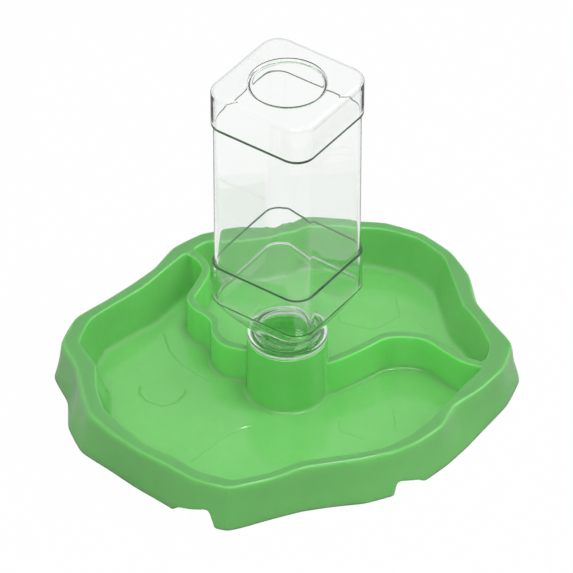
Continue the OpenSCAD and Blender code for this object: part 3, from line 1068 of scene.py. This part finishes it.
def bottle_edge(name, side=None):
    """Painted shade: dark green lines on the clear wall where it is seen edge-on, for the dark
    edges that refraction draws; a side limits it to that view.
    """
    made, g = material(name)
    place = g.place()
    tint = g.noise(place, scale=60.0)
    colour = g.mix(g.span(tint, between=(0.35, 0.65)), EDGE_SHADE_DARK, EDGE_SHADE_LIGHT)
    normal = g.bump(g.noise(place, scale=700.0, detail=2.0), strength=0.1, distance=0.0001)
    shader = g.principled({
        "Base Color": colour, "Roughness": g.span(tint, between=(0.3, 0.7), to=(0.12, 0.22)),
        "IOR": BOTTLE_IOR, "Transmission Weight": 0.2, "Normal": normal})
    if side is not None:
        glass = g.principled({"Base Color": CLEAR_COLOUR, "Roughness": 0.0,
                              "IOR": BOTTLE_IOR, "Transmission Weight": 1.0})
        back = g.add("ShaderNodeNewGeometry").outputs["Backfacing"]
        pair = (shader, glass) if side == "outside" else (glass, shader)
        shader = g.mix_shaders(back, *pair)
    finish_see_through(g, shader, EDGE_SHADOW)
    return made


# ---------------------------------------------------------------- the piece
def build_tray():
    vertices, faces = tray_mesh(0.95)
    tray = new_object("moulded_tray", vertices, faces)
    shade_tray(tray.data, vertices)
    mark_thin(tray.data, vertices)
    tray.data.materials.append(tray_plastic())
    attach(tray, "tray")
    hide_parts("tray")


def build_washer():
    washer = new_object("soft_washer", *washer_mesh())
    washer.data.materials.append(washer_silicone())
    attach(washer, "washer")
    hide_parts("seal_washer")


def build_bottle():
    vertices, faces, slots = bottle_mesh()
    bottle = new_object("clear_bottle", vertices, faces)
    for made in (bottle_clear(), bottle_edge("bottle_edge"),
                 bottle_edge("bottle_crease", "outside"),
                 bottle_edge("bottle_far_edge", "inside")):
        bottle.data.materials.append(made)
    bottle.data.polygons.foreach_set("material_index", slots.astype(np.int32))
    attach(bottle, "bottle")
    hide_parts("bottle")


build_tray()
build_washer()
build_bottle()

# ----------------------------------------------------- stage, in metres
FLOOR_HALF = 4.0
FLOOR_DROP = 0.00005        # keeps the floor just under the tray's foot
FLOOR_GREY = (0.42, 0.42, 0.42, 1)
FLOOR_GLOW = 0.985          # share of plain white in what the camera sees
WHITE = (1, 1, 1, 1)
CAMERA_HEADING, CAMERA_RISE = math.radians(35.61), math.radians(39.35)
CAMERA_DISTANCE = 3.3804
CAMERA_LENS = 408.37696
# unit vectors: back towards the camera, to its right, and level towards it
BACK = Vector((math.sin(CAMERA_HEADING) * math.cos(CAMERA_RISE),
               -math.cos(CAMERA_HEADING) * math.cos(CAMERA_RISE), math.sin(CAMERA_RISE)))
RIGHT = Vector((math.cos(CAMERA_HEADING), math.sin(CAMERA_HEADING), 0))
TOWARD = Vector((BACK.x, BACK.y, 0)).normalized()
LIGHT_AIM = Vector((0, 0, 0.03))
SKY_STRENGTH = 0.83
CARD_STRENGTH = 0.75


def floor_white():
    """White to the camera, grey to the light, clear from below."""
    made, g = material("floor_white")
    rays = g.add("ShaderNodeLightPath")
    grey = g.add("ShaderNodeBsdfDiffuse", {"Color": FLOOR_GREY})
    white = g.add("ShaderNodeEmission", {"Color": WHITE, "Strength": 1.0})
    seen = g.math("MAXIMUM", rays.outputs["Is Camera Ray"], rays.outputs["Is Transmission Ray"])
    above = g.mix_shaders(g.times(seen, FLOOR_GLOW), grey.outputs[0], white.outputs[0])
    back = g.add("ShaderNodeNewGeometry").outputs["Backfacing"]
    clear = g.add("ShaderNodeBsdfTransparent")
    g.finish(g.mix_shaders(back, above, clear.outputs[0]))
    return made


def build_floor():
    mesh = bpy.data.meshes.new("floor")
    corners = [(x * FLOOR_HALF, y * FLOOR_HALF, 0) for x, y in ((-1, -1), (1, -1), (1, 1), (-1, 1))]
    mesh.from_pydata(corners, [], [(0, 1, 2, 3)])
    floor = bpy.data.objects.new("floor", mesh)
    floor.location = (0, 0, -FLOOR_DROP)
    bpy.context.scene.collection.objects.link(floor)
    mesh.materials.append(floor_white())


def area_light(name, offset, size, power):
    """Area light at an offset from the point it is aimed at."""
    data = bpy.data.lights.new(name, "AREA")
    data.energy = power
    data.size = size
    lamp = bpy.data.objects.new(name, data)
    bpy.context.scene.collection.objects.link(lamp)
    position = LIGHT_AIM + offset
    lamp.location = position
    lamp.rotation_mode = "QUATERNION"
    lamp.rotation_quaternion = (LIGHT_AIM - position).to_track_quat("-Z", "Y")
    return lamp


def build_lights():
    key = area_light("key", TOWARD * 1.15 - RIGHT * 0.25 + Vector((0, 0, 1.5)),
                     size=1.2, power=16.0)
    area_light("top", RIGHT * 0.45 + Vector((0, 0, 2.0)), size=0.24, power=11.0)
    right = area_light("right", RIGHT * 1.45 + TOWARD * 0.05 + Vector((0, 0, 1.0)),
                       size=0.85, power=7.0)
    for lamp in (key, right):
        lamp.visible_transmission = False
    right.data.specular_factor = 0.6


def build_world():
    world = bpy.data.worlds.new("studio")
    bpy.context.scene.world = world
    world.use_nodes = True
    g = Graph(world.node_tree)
    rays = g.add("ShaderNodeLightPath")
    way = g.add("ShaderNodeTexCoord").outputs["Generated"]
    x, y, z = g.add("ShaderNodeSeparateXYZ", {0: way}).outputs
    # a little dimmer low down and on the camera's side
    nearness = g.math("ADD", g.times(x, TOWARD.x), g.times(y, TOWARD.y))
    side = g.span(nearness, between=(-0.2, 1.0), to=(1.0, 0.62))
    high = g.span(z, between=(-0.1, 0.7), to=(0.60, 1.0))
    strength = g.times(g.times(side, high), SKY_STRENGTH)
    # darker high up through the clear bottle only, which draws its fine edges
    card = g.times(rays.outputs["Is Transmission Ray"], g.span(z, between=(0.05, 0.35)))
    strength = g.add("ShaderNodeMix", {0: card, 2: strength, 3: CARD_STRENGTH},
                     data_type="FLOAT").outputs[0]
    plain = g.add("ShaderNodeBackground", {"Color": WHITE, "Strength": 1.0})
    soft = g.add("ShaderNodeBackground", {"Color": WHITE, "Strength": strength})
    g.finish(g.mix_shaders(rays.outputs["Is Camera Ray"], soft.outputs[0], plain.outputs[0]),
             kind="World")


def build_camera():
    data = bpy.data.cameras.new("camera")
    data.sensor_width = 36.0
    data.lens = CAMERA_LENS
    data.clip_start, data.clip_end = 0.1, 50.0
    camera = bpy.data.objects.new("camera", data)
    bpy.context.scene.collection.objects.link(camera)
    target = Vector((0, 0, 0.07191)) - RIGHT * 0.00049
    camera.location = target + BACK * CAMERA_DISTANCE
    camera.rotation_mode = "QUATERNION"
    camera.rotation_quaternion = (-BACK).to_track_quat("-Z", "Y")
    bpy.context.scene.camera = camera


build_floor()
build_lights()
build_world()
build_camera()

view = bpy.context.scene.view_settings
view.view_transform = "Standard"
view.look = "None"
view.exposure = 0.0
view.gamma = 1.0
